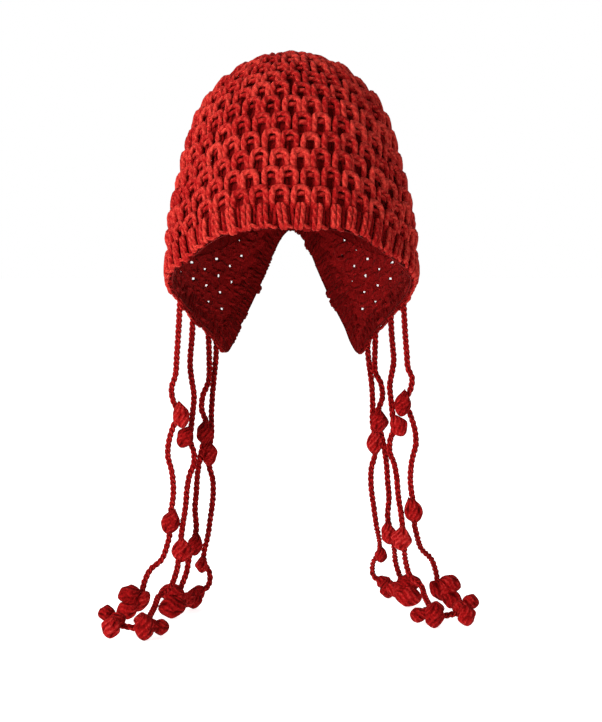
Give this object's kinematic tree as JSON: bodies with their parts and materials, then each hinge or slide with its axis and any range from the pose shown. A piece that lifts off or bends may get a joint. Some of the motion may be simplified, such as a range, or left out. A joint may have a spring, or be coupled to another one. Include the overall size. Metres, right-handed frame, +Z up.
{
  "type": "earflap beanie",
  "caption": "Crocheted red beanie with two pointed earflaps, a ribbed edging and plaited tie cords that carry leaf buds and end in bunches of buds.",
  "frame": {"origin": "inside top of the crown, where the hat sits on a head", "axes": "+Z up through the crown's top, -Y toward the brow, +X toward the wearer's picture right"},
  "size_m": [0.2642, 0.2009, 0.4125],
  "materials": {
    "crown_knit": "matte",
    "flap_knit": "matte",
    "edging_knit": "matte",
    "cord_plait": "matte",
    "bud_yarn": "matte"
  },
  "bodies": {
    "root": {"crown": "crown_knit", "earflap_left": "flap_knit", "earflap_right": "flap_knit", "ribbed_edge": "edging_knit", "cord_left_1": "cord_plait", "cord_left_2": "cord_plait", "cord_left_3": "cord_plait", "cord_left_4": "cord_plait", "cord_right_1": "cord_plait", "cord_right_2": "cord_plait", "cord_right_3": "cord_plait", "cord_right_4": "cord_plait", "leaf_left_1_upper": "bud_yarn", "leaf_left_1_lower": "bud_yarn", "leaf_left_2_upper": "bud_yarn", "leaf_left_2_lower": "bud_yarn", "leaf_left_3_upper": "bud_yarn", "leaf_left_3_lower": "bud_yarn", "leaf_left_4_upper": "bud_yarn", "leaf_left_4_lower": "bud_yarn", "leaf_right_1_upper": "bud_yarn", "leaf_right_1_lower": "bud_yarn", "leaf_right_2_upper": "bud_yarn", "leaf_right_2_lower": "bud_yarn", "leaf_right_3_upper": "bud_yarn", "leaf_right_3_lower": "bud_yarn", "leaf_right_4_upper": "bud_yarn", "leaf_right_4_lower": "bud_yarn", "bud_left_1": "bud_yarn", "bud_left_2": "bud_yarn", "bud_left_3": "bud_yarn", "bud_left_4": "bud_yarn", "bud_left_5": "bud_yarn", "bud_right_1": "bud_yarn", "bud_right_2": "bud_yarn", "bud_right_3": "bud_yarn", "bud_right_4": "bud_yarn", "bud_right_5": "bud_yarn"}
  },
  "joints": []
}
